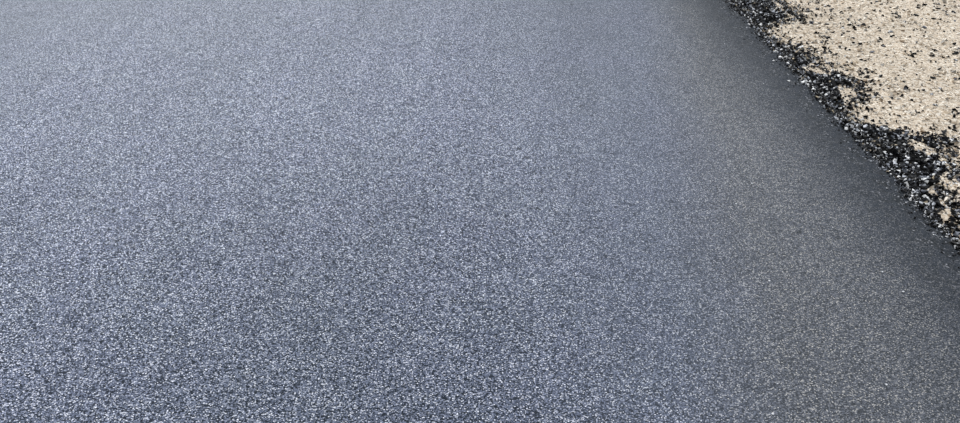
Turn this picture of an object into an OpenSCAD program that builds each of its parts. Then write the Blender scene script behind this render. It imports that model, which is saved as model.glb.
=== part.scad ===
// Asphalt pavement section: a cut length of newly surfaced road.
// Crowned layers lie one on another from the soil up to the rolled mat. Loose coated stone
// lies along both edges of the mat, and bare crushed stone makes the margins beside it.
// X runs across the road, Y along it and Z up. The section rests on its flat bottom.

/* [Section] */
// Length along the road, between the two cut ends
section_length = 4000; // [1000:100:6000]
// Fall of every layer from the crown to each side, in percent
cross_fall = 2.5; // [1:0.5:4]
// Run for each unit of fall on the sides of the asphalt layers
asphalt_batter = 0.5; // [0.2:0.1:1.2]
// Run for each unit of fall on the sides of the crushed stone layers
stone_batter = 1.5; // [1:0.25:3]

/* [Surface course] */
// Width of the mat between its two edge lines
mat_width = 4500; // [3000:100:7500]
// Thickness of the mat under its running surface
mat_thickness = 50; // [40:5:80]
// How far in from its edge line the mat starts to round over
roll_width = 220; // [80:10:400]
// How far the rounding brings the edge line down
roll_drop = 16; // [6:1:24]

/* [Tack coat and binder course] */
// Thickness of the tack coat between the two asphalt layers
tack_thickness = 1; // [0.5:0.5:3]
// Width of the tack coat that shows past the foot of the mat
tack_ledge = 20; // [10:5:60]
// Thickness of the binder course
binder_thickness = 60; // [40:5:120]

/* [Prime coat and base course] */
// Thickness of the prime coat on the crushed stone
prime_thickness = 2; // [1:0.5:4]
// Width of the prime coat that shows past the foot of the binder course
prime_ledge = 90; // [20:10:200]
// Thickness of the crushed stone base course
base_thickness = 150; // [100:10:300]
// Width of bare crushed stone past the prime coat
margin_width = 1400; // [500:20:2000]

/* [Sub-base and subgrade] */
// Thickness of the sub-base
sub_base_thickness = 150; // [100:10:400]
// Width of soil that shows past the foot of the sub-base
soil_ledge = 180; // [50:10:500]
// Depth of the soil at its two sides
soil_side = 90; // [60:10:300]

/* [Edge spill] */
// How far the spilled coated stone reaches past the foot of the binder course
spill_reach = 200; // [80:10:220]
// How much small steps change that reach, as a share of it
spill_wander = 0.1; // [0:0.05:0.2]
// Depth of the heap at the foot of the binder course
spill_depth = 22; // [10:1:35]
// Distance between the heap's cross sections along the road
spill_step = 50; // [40:5:100]
// Coated stones set in each heap for a metre of road
spill_stones = 28; // [10:1:40]

/* [Stones] */
// Usual size of a coated stone
coated_size = 22; // [14:1:30]
// Coated stones lying loose on each margin for a metre of road
coated_loose = 9; // [2:1:15]
// Usual size of a bare stone on the margins
bare_size = 30; // [18:1:45]
// Bare stones on each margin for a metre of road
bare_loose = 8; // [2:1:15]

/* [Hidden] */
fall = cross_fall / 100;
half_length = section_length / 2;
half_mat = mat_width / 2;
ASPHALT = "#33363b";
COATING = "#1a1b1d";

// the layers from the soil up: name, thickness, ledge, batter and colour, where the ledge is
// how far a top shows past the foot of the layer on it
LAYERS = [
    ["subgrade", soil_side, soil_ledge, 0, "#6d5138"],
    ["sub_base", sub_base_thickness, 0, stone_batter, "#8d8373"],
    ["base_course", base_thickness, margin_width, stone_batter, "#b9a98c"],
    ["prime_coat", prime_thickness, prime_ledge, 0, COATING],
    ["binder_course", binder_thickness, 0, asphalt_batter, ASPHALT],
    ["tack_coat", tack_thickness, tack_ledge, 0, COATING],
    ["surface_course", mat_thickness, 0, asphalt_batter, "#4b4f56"]
];
function thick(i) = LAYERS[i][1];
function ledge(i) = LAYERS[i][2];
function batter(i) = LAYERS[i][3];
function colour(i) = LAYERS[i][4];
function layer_named(name) = search([name], LAYERS)[0];
SOIL = layer_named("subgrade");
BASE = layer_named("base_course");
PRIME = layer_named("prime_coat");
BINDER = layer_named("binder_course");
TACK = layer_named("tack_coat");
MAT = layer_named("surface_course");

// half width of a layer at its top and at its foot
function half_top(i) = i == MAT ? half_mat : half_foot(i + 1) + ledge(i);
function half_foot(i) = half_top(i) + batter(i) * side_height(i);
function side_height(i) = thick(i) - (i == MAT ? roll_drop : 0);

// height of a layer's top over the crown, from the soil's flat bottom
function crown(i) = i == SOIL ? soil_side + fall * half_top(SOIL) : crown(i - 1) + thick(i);
function top_at(i, x) = crown(i) - fall * abs(x);

// the mat's rounding: a flat start, then a steady fall to its edge line
ROLL = [for (t = [0:0.125:1]) [half_mat - roll_width * (1 - t), roll_drop * pow(t, 2.2)]];

// right side of a layer, from its top down to its foot, and its outline back to the crown
function side(i) = concat(
    i == MAT
        ? [for (p = ROLL) [p.x, top_at(i, p.x) - p.y]]
        : [[half_top(i), top_at(i, half_top(i))]],
    [[half_foot(i), i == SOIL ? 0 : top_at(i - 1, half_foot(i))]]
);
function outline(i) = concat([[0, crown(i)]], side(i), [[0, i == SOIL ? 0 : crown(i - 1)]]);

// the outline of all the layers as one
SKYLINE = concat([[0, crown(MAT)]], [for (i = [MAT:-1:SOIL]) each side(i)], [[0, 0]]);

// corners of a block, from which every stone is made, each as far out as a unit ball
BLOCK = [for (x = [-1, 1], y = [-1, 1], z = [-1, 1]) [x, y, z] / sqrt(3)];

// a stone is a row of its place, its size and the seed of its shape
function place(stone) = stone[0];
function size(stone) = stone[1];
function seed(stone) = stone[2];

SPILL_SEED = 41;
COATED_SEED = 73;
BARE_SEED = 97;

// a half outline and its mirror image, drawn out along the road
module drawn_out(half, length) {
    other = [for (k = [len(half) - 2:-1:1]) [-half[k].x, half[k].y]];
    rotate([90, 0, 0])
        linear_extrude(length, center = true)
            polygon(concat(half, other));
}

// one layer, whose faces are those of the layers under and over it
module layer(i) {
    color(colour(i))
        drawn_out(outline(i), section_length);
}

module subgrade() layer(SOIL);
module sub_base() layer(layer_named("sub_base"));
module base_course() layer(BASE);
module prime_coat() layer(PRIME);
module binder_course() layer(BINDER);
module tack_coat() layer(TACK);
module surface_course() layer(MAT);

// everything that stone can lie on, drawn out past the cut ends
module ground() {
    drawn_out(SKYLINE, section_length + 4 * spill_step);
}

module between_ends() {
    intersection() {
        children();
        cube([4 * half_top(SOIL), section_length, 4 * crown(MAT)], center = true);
    }
}

// an angular stone: a flattened block with each corner moved along, over or back
module stone(row) {
    moves = rands(-0.3, 0.3, 3 * len(BLOCK), seed(row));
    turn = rands(0, 360, 3, seed(row) + 1);
    squash = rands(0.65, 1, 2, seed(row) + 2);
    corners = [
        for (k = [0:len(BLOCK) - 1])
            let (c = BLOCK[k] + [moves[3 * k], moves[3 * k + 1], moves[3 * k + 2]])
            [c.x, c.y * squash[0], c.z * squash[1]] * size(row) / 2
    ];
    translate(place(row))
        rotate(turn)
            hull() polyhedron(corners, [[0, 1, 2], [3, 4, 5], [5, 6, 7]]);
}

// cross sections of the heap, one before each cut end and one past it
stations = ceil(section_length / spill_step) + 1;
station_gap = (section_length + 2 * spill_step) / (stations - 1);
function station_y(j) = -half_length - spill_step + j * station_gap;

// swells of its reach along the road: a share of the section's length, then the reach there
SWELLS = [
    [-0.5, 0.7], [-0.43, 1.2], [-0.36, 0.5], [-0.29, 1.1], [-0.24, 0.6], [-0.21, 0.3],
    [-0.18, 0.5], [-0.15, 0.8], [-0.12, 0.9], [-0.1, 1.4], [-0.06, 1.8], [-0.01, 2.2],
    [0.01, 0.6], [0.03, 0.4], [0.06, 0.5], [0.08, 1.1], [0.1, 1.4], [0.14, 1.5], [0.16, 1.1],
    [0.2, 1], [0.24, 0.9], [0.26, 0.4], [0.31, 0.3], [0.33, 0.6], [0.35, 1.2], [0.37, 1.9],
    [0.44, 1.8], [0.47, 1.3], [0.5, 1]
];
steps = rands(-spill_wander, spill_wander, stations, SPILL_SEED);
function reach_at(j) = spill_reach * (lookup(station_y(j) / section_length, SWELLS) + steps[j]);

// points over a cross section: where a share of the reach is measured from, that share, the
// ground's height there over the base course, and the share of the heap's depth on it
HEAP = [
    [half_mat - roll_drop, 0, crown(BINDER) - crown(BASE), 0.65],
    [half_top(TACK), 0.03, crown(TACK) - crown(BASE), 0.45],
    [half_foot(BINDER), 0.15, prime_thickness, 1],
    [half_foot(BINDER), 0.45, prime_thickness, 0.65],
    [half_foot(BINDER), 0.8, prime_thickness, 0.4],
    [half_foot(BINDER), 1, 0, -0.3]
];
bumps = rands(0.55, 1.45, stations * len(HEAP), SPILL_SEED + 2);
function heap_point(j, k) =
    let (
        row = HEAP[k],
        x = row[0] + reach_at(j) * row[1],
        depth = spill_depth * row[3] * bumps[j * len(HEAP) + k]
    )
    [x, station_y(j), top_at(BASE, x) + row[2] + depth];

// a lumpy strip, closed under the ground
module heap() {
    n = len(HEAP) + 2;
    points = [
        for (j = [0:stations - 1])
            each concat(
                [for (k = [0:len(HEAP) - 1]) heap_point(j, k)],
                [for (k = [len(HEAP) - 1, 0]) [heap_point(j, k).x, station_y(j), crown(SOIL)]]
            )
    ];
    sides = [
        for (j = [0:stations - 2], k = [0:n - 1])
            let (a = j * n + k, b = j * n + (k + 1) % n)
            each [[a, a + n, b], [b, a + n, b + n]]
    ];
    ends = [[for (k = [0:n - 1]) k], [for (k = [n - 1:-1:0]) (stations - 1) * n + k]];
    polyhedron(points, concat(sides, ends));
}

// stones half sunk in the heap, some at each cross section
spill_count = round(spill_stones * section_length / 1000);
spill_across = rands(0.1, 0.9, spill_count, SPILL_SEED + 3);
spill_sizes = rands(0.7, 1.5, spill_count, SPILL_SEED + 4);
SPILL = [
    for (k = [0:spill_count - 1])
        let (
            j = floor((k + 0.5) * stations / spill_count),
            from = half_foot(MAT),
            x = from + (half_foot(BINDER) + reach_at(j) - from) * spill_across[k],
            slice = [for (m = [0:len(HEAP) - 1]) [heap_point(j, m).x, heap_point(j, m).z]]
        )
        [[x, station_y(j), lookup(x, slice)], coated_size * spill_sizes[k], 10 * k + SPILL_SEED]
];

module edge_spill() {
    color(COATING)
        difference() {
            between_ends()
                union() {
                    heap();
                    for (row = SPILL) stone(row);
                }
            ground();
        }
}

// stones lying loose on the base course, thinning out away from the mat
function scatter(count, size, from, to, power, seed) =
    let (
        n = round(count * section_length / 1000),
        across = rands(0, 1, n, seed),
        along = rands(-0.3, 0.3, n, seed + 1),
        sizes = rands(0.7, 1.35, n, seed + 2),
        pitch = (section_length - 3 * size) / n
    )
    [
        for (k = [0:n - 1])
            let (x = from + (to - from) * pow(across[k], power))
            [
                [x, pitch * (k + 0.5 + along[k] - n / 2), top_at(BASE, x) + 0.12 * size * sizes[k]],
                size * sizes[k],
                10 * k + seed
            ]
    ];

spill_end = half_foot(BINDER) + spill_reach * (max([for (row = SWELLS) row[1]]) + spill_wander);
past_spill = max(half_top(PRIME), spill_end) + 2 * coated_size;
margin_end = half_top(BASE) - 2 * bare_size;
COATED = scatter(coated_loose, coated_size, past_spill, margin_end, 2, COATED_SEED);
BARE = [
    for (row = scatter(bare_loose, bare_size, past_spill, margin_end, 1, BARE_SEED))
        if (min([for (near = COATED) norm(place(row) - place(near))]) > coated_size + bare_size) row
];

module loose(rows, colour) {
    color(colour)
        difference() {
            union() for (row = rows) stone(row);
            ground();
        }
}

module edge_spill_right() edge_spill();
module edge_spill_left() mirror([1, 0, 0]) edge_spill();
module coated_stones_right() loose(COATED, COATING);
module coated_stones_left() mirror([1, 0, 0]) loose(COATED, COATING);
module bare_stones_right() loose(BARE, "#cdbfa3");
module bare_stones_left() mirror([1, 0, 0]) loose(BARE, "#cdbfa3");

subgrade();
sub_base();
base_course();
prime_coat();
binder_course();
tack_coat();
surface_course();
edge_spill_left();
edge_spill_right();
coated_stones_left();
coated_stones_right();
bare_stones_left();
bare_stones_right();
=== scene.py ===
"""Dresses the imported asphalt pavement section: relief, stones and procedural materials.

X runs across the road, Y along it and Z up, in metres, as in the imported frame.
"""

import math

import bmesh
import bpy
import numpy as np
from mathutils import Matrix, Vector
from mathutils.bvhtree import BVHTree


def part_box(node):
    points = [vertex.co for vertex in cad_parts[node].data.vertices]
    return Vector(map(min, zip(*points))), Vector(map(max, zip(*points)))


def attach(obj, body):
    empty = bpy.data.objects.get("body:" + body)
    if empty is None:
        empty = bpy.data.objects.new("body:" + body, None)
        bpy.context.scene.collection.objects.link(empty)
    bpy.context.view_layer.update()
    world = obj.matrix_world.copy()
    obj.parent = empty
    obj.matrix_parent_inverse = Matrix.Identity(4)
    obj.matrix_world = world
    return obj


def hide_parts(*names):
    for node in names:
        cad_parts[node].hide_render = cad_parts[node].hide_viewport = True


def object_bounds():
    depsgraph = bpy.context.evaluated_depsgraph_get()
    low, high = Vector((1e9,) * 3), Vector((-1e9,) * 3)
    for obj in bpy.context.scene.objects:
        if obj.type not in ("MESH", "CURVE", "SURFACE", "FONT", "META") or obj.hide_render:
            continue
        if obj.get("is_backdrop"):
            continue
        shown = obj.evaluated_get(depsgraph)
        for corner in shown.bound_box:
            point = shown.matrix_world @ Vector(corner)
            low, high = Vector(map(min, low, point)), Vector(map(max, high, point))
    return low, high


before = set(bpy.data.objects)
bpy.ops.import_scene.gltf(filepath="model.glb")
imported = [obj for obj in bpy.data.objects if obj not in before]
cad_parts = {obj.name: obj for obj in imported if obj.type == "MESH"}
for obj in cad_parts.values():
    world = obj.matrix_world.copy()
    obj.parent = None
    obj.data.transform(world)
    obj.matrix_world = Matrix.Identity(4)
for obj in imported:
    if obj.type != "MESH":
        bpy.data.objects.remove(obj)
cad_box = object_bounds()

# The section's outline

# the layers from the soil up
LAYERS = "subgrade sub_base base_course prime_coat binder_course tack_coat surface_course".split()
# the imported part's crossfall, and its mat's edge line with the rounding beside it
FALL = 0.025
EDGE_X = 2.250
ROLL_WIDTH, ROLL_DROP, ROLL_POWER, ROLL_STEPS = 0.220, 0.016, 2.2, 8
# one more corner of the mat's line, a little before it rounds over
CORNER_X = 1.930
# where the flat margin ends, and the run of its slope for each unit of fall
MARGIN_END = 3.807
STONE_BATTER = 1.5
# how near two places count as one, and how near its foot an outline ends
NEAR, AT_FOOT = 1e-6, 1e-4
# a slope's foot over its ground, and the least heights of a layer and of a side with relief
FOOT_LIP, THINNEST, LOW_SIDE = 0.0006, 0.0004, 0.01


def foot(node):
    """Half width of a layer, which is widest at its foot."""
    return float(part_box(node)[1][0])


def crown(node):
    """Height of a layer's top at the middle of the road."""
    return float(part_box(node)[1][2])


END_Y = float(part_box("surface_course")[1][1])
# half width of each layer's flat top
TOP_X = {
    "tack_coat": foot("tack_coat"),
    "binder_course": foot("tack_coat"),
    "prime_coat": foot("prime_coat"),
    "base_course": MARGIN_END,
    "sub_base": foot("base_course"),
    "subgrade": foot("subgrade"),
}


def under(node):
    """The layer that a layer lies on, or None for the soil."""
    i = LAYERS.index(node)
    return LAYERS[i - 1] if i else None


def plane(node, x):
    """Height of a layer's top plane at x, and 0 under the soil."""
    return crown(node) - FALL * np.abs(x) if node else 0.0 * np.abs(x)


def outline(node):
    """The right side of a layer's top, from the crown to its foot, as x and z."""
    points = [(0.0, crown(node))]
    if node == "surface_course":
        points.append((CORNER_X, plane(node, CORNER_X)))
        for t in np.linspace(0, 1, ROLL_STEPS + 1):
            x = EDGE_X - ROLL_WIDTH * (1 - t)
            points.append((x, plane(node, x) - ROLL_DROP * t**ROLL_POWER))
    else:
        points.append((TOP_X[node], plane(node, TOP_X[node])))
    if foot(node) - points[-1][0] > AT_FOOT:
        points.append((foot(node), plane(under(node), foot(node)) + FOOT_LIP))
    return np.array(points, float)


def skyline(x):
    """Height of the bare layers' tops at x."""
    points = [(0.0, crown("surface_course"))]
    for node in reversed(LAYERS):
        points += [tuple(p) for p in outline(node)[1:] if p[0] > points[-1][0]]
        points.append((foot(node) + NEAR, float(plane(under(node), foot(node)))))
    points = np.array(points)
    return np.interp(np.abs(x), points[:, 0], points[:, 1])


# Noise


def hashed(ix, iy, seed):
    """A number from 0 to 1 for each whole-number place."""
    h = ix.astype(np.int64) * 374761393 + iy.astype(np.int64) * 668265263 + seed * 144269504
    h = (h ^ (h >> 13)) * 1274126177
    h = (h ^ (h >> 16)) & 0xFFFFFFFF
    return (h % 1000003) / 1000003.0


def noise(x, y, size, seed):
    """Smooth noise from -1 to 1 with lumps of about the given size."""
    u, v = x / size, y / size
    ix, iy = np.floor(u), np.floor(v)
    fx, fy = u - ix, v - iy
    fx, fy = fx * fx * (3 - 2 * fx), fy * fy * (3 - 2 * fy)
    a, b = hashed(ix, iy, seed), hashed(ix + 1, iy, seed)
    c, d = hashed(ix, iy + 1, seed), hashed(ix + 1, iy + 1, seed)
    return 2 * (a + (b - a) * fx + (c - a) * fy + (a - b - c + d) * fx * fy) - 1


def clouds(x, y, size, seed, octaves=3):
    """Noise with finer and weaker lumps in its larger ones."""
    return sum(0.5**k * noise(x, y, size / 2**k, seed + k) for k in range(octaves))


# in cells: farther than any stone's middle, where that lies in its cell, and its sides' slope
FAR, CELL_EDGE, CELL_PLAY, CELL_SLOPE = 9.0, 0.15, 0.7, 1.6


def pebbles(x, y, size, seed):
    """Rounded cells like packed stones: height 0 to 1, and a number for each stone."""
    u, v = x / size, y / size
    ix, iy = np.floor(u), np.floor(v)
    best, second = np.full(np.shape(u), FAR), np.full(np.shape(u), FAR)
    tone = np.zeros(np.shape(u))
    for dx in (-1, 0, 1):
        for dy in (-1, 0, 1):
            jx, jy = ix + dx, iy + dy
            px = jx + CELL_EDGE + CELL_PLAY * hashed(jx, jy, seed)
            py = jy + CELL_EDGE + CELL_PLAY * hashed(jx, jy, seed + 1)
            d = np.hypot(u - px, v - py)
            nearer = d < best
            second = np.where(nearer, best, np.minimum(second, d))
            tone = np.where(nearer, hashed(jx, jy, seed + 2), tone)
            best = np.where(nearer, d, best)
    return np.clip((second - best) * CELL_SLOPE, 0, 1), tone


def ease(x, low, high):
    """0 below low, 1 above high and smooth between."""
    t = np.clip((x - low) / (high - low), 0, 1)
    return t * t * (3 - 2 * t)


# Relief of each surface

# in the reliefs heights and lump sizes are in metres, and each noise has a seed of its own
RAGGED_FROM = 2.12
# where the fines start to cover the film, and each slope comes out from under a layer
FINES_START, SUB_BASE_START, SOIL_START = (2.300, 2.325), (4.02, 4.06), (4.25, 4.29)
SLOPE_START = (MARGIN_END - 0.05, MARGIN_END + 0.03)


def mat_relief(x, y):
    """Slow waves of the rolled mat, and its looser, ragged outer strip."""
    edge = ease(np.abs(x), RAGGED_FROM, EDGE_X)
    wave = 0.0012 * clouds(x, y * 0.4, 0.6, 11, 2)
    lumps, tone = pebbles(x, y, 0.024, 14)
    ragged = 0.0040 * clouds(x, y, 0.07, 16, 3) + 0.0040 * lumps * tone - 0.002
    return wave * (1 - edge) + ragged * edge


def slope_relief(x, y):
    """Stones of the crushed layers showing on a slope."""
    lumps, tone = pebbles(x, y, 0.055, 31)
    small, _ = pebbles(x, y, 0.03, 34)
    return 0.008 * lumps * tone + 0.003 * small + 0.005 * clouds(x, y, 0.25, 36, 2) - 0.005


def margin_relief(x, y):
    """Graded fines over the film's rim, with half-sunk stones, then the stony slope."""
    lumps, tone = pebbles(x, y, 0.042, 21)
    shown = ease(noise(x, y, 0.11, 23), 0.1, 0.7)
    ripple = 0.0018 * noise(x * 0.4 + 0.3 * y, y, 0.045, 26)
    flat = 0.003 * clouds(x, y, 0.45, 24, 3) + 0.0045 * lumps * tone * shown + ripple
    flat = np.maximum(flat + 0.0045, 0.0026)
    slope = ease(np.abs(x), *SLOPE_START)
    return (flat * (1 - slope) + slope_relief(x, y) * slope) * ease(np.abs(x), *FINES_START)


def sub_base_relief(x, y):
    """Stones like the margin's slope, at other places."""
    return slope_relief(x + 7, y) * ease(np.abs(x), *SUB_BASE_START)


def soil_relief(x, y):
    return 0.008 * clouds(x, y, 0.13, 41, 3) * ease(np.abs(x), *SOIL_START)


def no_relief(x, y):
    return 0.0 * x


def dent_of(size, depth, seed, out=0.0):
    """Relief of a cut face: stones of about the given size, cut back from its plane."""

    def dent(a, b):
        lumps, tone = pebbles(a, b, size, seed)
        return out - depth * (1 - lumps) * (0.4 + 0.6 * tone)

    return dent


# Meshes

scene = bpy.context.scene
# in shares of the map: the gap between charts, and the corner for hidden faces
GAP, HIDDEN = 0.012, 0.003
HIDDEN_BAND = (HIDDEN / 3, HIDDEN)


def added(name, data):
    ob = bpy.data.objects.new(name, data)
    scene.collection.objects.link(ob)
    return ob


def patch(faces, uv, normals=None, pick=0):
    """Faces of one kind: their corners, map places, corner normals and material."""
    return {"faces": faces, "uv": uv, "normals": normals, "pick": pick}


def make(name, verts, patches, materials, node):
    """A piece that rides the section and stands for a node, smooth on its first patch."""
    loops = np.concatenate([p["faces"].ravel() for p in patches])
    totals = np.concatenate([np.full(len(p["faces"]), p["faces"].shape[1]) for p in patches])
    mesh = bpy.data.meshes.new(name)
    mesh.vertices.add(len(verts))
    mesh.vertices.foreach_set("co", verts.astype(np.float32).ravel())
    mesh.loops.add(len(loops))
    mesh.loops.foreach_set("vertex_index", loops.astype(np.int32))
    mesh.polygons.add(len(totals))
    mesh.polygons.foreach_set("loop_start", (np.cumsum(totals) - totals).astype(np.int32))
    picks = np.concatenate([np.broadcast_to(p["pick"], len(p["faces"])) for p in patches])
    for material in materials:
        mesh.materials.append(material)
    mesh.polygons.foreach_set("material_index", picks.astype(np.int32))
    mesh.update(calc_edges=True)
    uv = np.concatenate([p["uv"].reshape(-1, 2) for p in patches])
    mesh.uv_layers.new(name="OFBake").data.foreach_set("uv", uv.astype(np.float32).ravel())
    flat = np.zeros(len(totals) * 3)
    mesh.polygons.foreach_get("normal", flat)
    normals = np.repeat(flat.reshape(-1, 3), totals, axis=0)
    smooth = patches[0]["normals"]
    if smooth is not None:
        normals[: patches[0]["faces"].size] = smooth.reshape(-1, 3)
    mesh.normals_split_custom_set(normals.tolist())
    ob = added(name, mesh)
    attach(ob, "root")
    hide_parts(node)


def quads(grid):
    """The corners of each cell of a grid, in turn."""
    return np.stack([grid[:-1, :-1], grid[1:, :-1], grid[1:, 1:], grid[:-1, 1:]], 2)


def border(n, m):
    """Row and column of each point round a grid, along its near side first."""
    i, j = np.arange(n), np.arange(m)
    ri = np.concatenate([i[:-1], np.full(m - 1, n - 1), i[:0:-1], np.zeros(m - 1, int)])
    rj = np.concatenate([np.zeros(n - 1, int), j[:-1], np.full(n - 1, m - 1), j[:0:-1]])
    return ri, rj


def wall_rings(top, bottom, rows, walls):
    """Rings of points round a solid from its top down, with each wall's relief."""
    n, m = bottom.shape[:2]
    ri, rj = border(n, m)
    share = np.linspace(0, 1, rows + 1)[:, None, None]
    ring = top[ri, rj] * (1 - share) + bottom[ri, rj] * share
    still = ring.copy()
    on_wall = {"near": rj == 0, "far": rj == m - 1, "left": ri == 0, "right": ri == n - 1}
    for side, (dent, _) in walls.items():
        on = on_wall[side]
        axis = 1 if side in ("near", "far") else 0
        sign = -1 if side in ("near", "left") else 1
        ring[:, on, axis] += sign * dent(still[:, on, 1 - axis], still[:, on, 2])
    return ring


def chart_places(charts):
    """Where each chart lies up the map, from its height over its width."""
    place, v = {}, GAP
    if charts:
        scale = (1 - GAP * (len(charts) + 1)) / sum(c[2] for c in charts)
    for side, k, share in charts:
        place[side, k] = (v, v + share * scale)
        v += share * scale + GAP
    return place


def across_map(shown, places, whole=1.0):
    """Places across the map or across its hidden corner."""
    start, wide = (GAP, 1 - 2 * GAP) if shown else (HIDDEN, HIDDEN)
    return start + wide * places / whole


def map_grid(u, v):
    return np.stack(np.meshgrid(u, v, indexing="ij"), 2)


def wall_patches(rings, spans, walls, place):
    """The walls' faces, those with a relief in their bands of the map."""
    patches = []
    for side, (a, b) in spans.items():
        bands = walls[side][1] if side in walls else 1
        ends = np.linspace(a, b, bands + 1).round().astype(int)
        for k, (c, d) in enumerate(zip(ends, ends[1:])):
            v0, v1 = place.get((side, k), HIDDEN_BAND)
            u = across_map(side in walls, np.linspace(0, 1, d - c + 1))
            uv = map_grid(np.linspace(v1, v0, len(rings)), u)[:, :, ::-1]
            faces = quads(rings[:, c : d + 1]).reshape(-1, 4)
            patches.append(patch(faces, quads(uv), None, 1 if side in walls else 0))
    return patches


def one_face(rim):
    turn = np.linspace(0, 2 * math.pi, len(rim), endpoint=False)
    uv = HIDDEN * (1 + 0.4 * np.stack([np.cos(turn), np.sin(turn)], 1))
    return patch(rim[None, ::-1], uv[None])


def grid_bottom(n, m, rim, first):
    """A bottom like the top, its inner corners numbered from the first on."""
    low = np.zeros((n, m), int)
    low[border(n, m)] = rim
    low[1:-1, 1:-1] = first + np.arange((n - 2) * (m - 2)).reshape(n - 2, m - 2)
    uv = map_grid(np.linspace(1, 2, n) * HIDDEN, np.linspace(1, 2, m) * HIDDEN)
    return patch(quads(low).reshape(-1, 4)[:, ::-1], quads(uv)[:, :, ::-1])


def block(top, bottom, rows, walls, along, shown=True, flat=True):
    """A closed solid under a relief, as its corners and its patches.

    top is a grid of points with one more all round, which only shapes its normals, and
    bottom is the grid under it. walls gives each wall that shows a relief and how many
    bands of the map it takes, and along gives the map place of each line across.
    """
    n, m = bottom.shape[:2]
    normals = np.cross(top[2:, 1:-1] - top[:-2, 1:-1], top[1:-1, 2:] - top[1:-1, :-2])
    normals /= np.linalg.norm(normals, axis=2, keepdims=True)
    top, bottom = top[1:-1, 1:-1].copy(), bottom.copy()
    ri, rj = border(n, m)
    ring = wall_rings(top, bottom, rows, walls)
    top[ri, rj], bottom[ri, rj] = ring[0], ring[-1]

    width, depth = along[-1], abs(top[0, -1, 1] - top[0, 0, 1])
    height = np.abs(ring[0] - ring[-1])[:, 2]
    corners = np.cumsum([0, n - 1, m - 1, n - 1, m - 1])
    spans = dict(zip(("near", "right", "far", "left"), zip(corners, corners[1:])))
    charts = [("top", 0, depth / width)] if shown else []
    for side, (_, bands) in walls.items():
        a, b = spans[side]
        length = width if side in ("near", "far") else depth
        charts += [(side, k, height[a:b].mean() * bands / length) for k in range(bands)]
    place = chart_places(charts)

    tops = np.arange(n * m).reshape(n, m)
    rings = n * m + np.arange(rows * len(ri)).reshape(rows, len(ri))
    rings = np.concatenate([tops[ri, rj][None], rings])
    rings = np.concatenate([rings, rings[:, :1]], 1)
    v0, v1 = place.get(("top", 0), HIDDEN_BAND)
    uv = map_grid(across_map(shown, along, width), v0 + (v1 - v0) * np.linspace(0, 1, m))
    patches = [patch(quads(tops).reshape(-1, 4), quads(uv), quads(normals))]
    patches += wall_patches(rings, spans, walls, place)
    verts = [top.reshape(-1, 3), ring[1:].reshape(-1, 3)]
    rim = rings[-1, :-1]
    if flat:
        patches.append(one_face(rim))
    else:
        patches.append(grid_bottom(n, m, rim, n * m + rows * len(ri)))
        verts.append(bottom[1:-1, 1:-1].reshape(-1, 3))
    return np.concatenate(verts), patches


def widened(places):
    """Places in a row with one more at each end."""
    return np.concatenate([[2 * places[0] - places[1]], places, [2 * places[-1] - places[-2]]])


def spread(points, step):
    """Points at even steps along a polyline, its corners kept."""
    out = [points[0]]
    for a, b in zip(points, points[1:]):
        k = max(1, int(math.ceil(np.hypot(*(b - a)) / step(abs(a[0] + b[0]) / 2))))
        out += [a + (b - a) * s / k for s in range(1, k + 1)]
    return np.array(out)


def cut(points, x0, x1):
    """The part of a polyline between two x values."""
    z = np.interp([x0, x1], points[:, 0], points[:, 1])
    inner = [p for p in points if x0 + NEAR < p[0] < x1 - NEAR]
    return np.array([(x0, z[0]), *inner, (x1, z[1])], float)


def layer_part(node, x0, x1, y0, y1, across, along, relief, rows, dent, bands, shown=True):
    """One closed part of a layer on one side of the crown, as corners and patches."""
    a, b = sorted((abs(x0), abs(x1)))
    line = spread(cut(outline(node), a, b), across)
    if x0 + x1 < 0:
        line = line[::-1] * (-1, 1)
    line = widened(line)
    tangent = np.gradient(line, axis=0)
    tangent /= np.linalg.norm(tangent, axis=1, keepdims=True)
    k = max(1, int(round((y1 - y0) / along)))
    ys = y0 + (y1 - y0) / k * np.arange(-1, k + 2)
    x, y = np.meshgrid(line[:, 0], ys, indexing="ij")
    z = np.repeat(line[:, 1:], len(ys), 1)
    h = relief(x, y)
    top = np.stack([x - tangent[:, 1:] * h, y, z + tangent[:, :1] * h], 2)
    core = top[1:-1, 1:-1]
    bottom = np.stack([core[:, :, 0], core[:, :, 1], plane(under(node), core[:, :, 0])], 2)
    core[:, :, 2] = np.maximum(core[:, :, 2], bottom[:, :, 2] + THINNEST)
    walls = {}
    if dent and y0 < NEAR - END_Y:
        walls["near"] = (dent, bands)
    if dent and y1 > END_Y - NEAR:
        walls["far"] = (dent, bands)
    side_wall = np.interp(foot(node), *outline(node).T) - plane(under(node), foot(node))
    if dent and side_wall > LOW_SIDE and max(abs(x0), abs(x1)) > foot(node) - NEAR:
        walls["right" if x1 > 0 else "left"] = (dent, 1)
    steps = np.hypot(*np.diff(line[1:-1], axis=0).T)
    return block(top, bottom, rows, walls, np.cumsum([0, *steps]), shown)


def layer_pieces(node, tag, columns, lengths, *args, materials, slot, **more):
    """Pieces of a layer, one for each column and each length of the road."""
    for c, (x0, x1) in enumerate(zip(columns, columns[1:])):
        for r, (y0, y1) in enumerate(lengths):
            verts, patches = layer_part(node, x0, x1, y0, y1, *args, **more)
            make(f"{node}_{tag}{c + 1}_{r + 1}", verts, patches, materials, node)


# Stones


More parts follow.
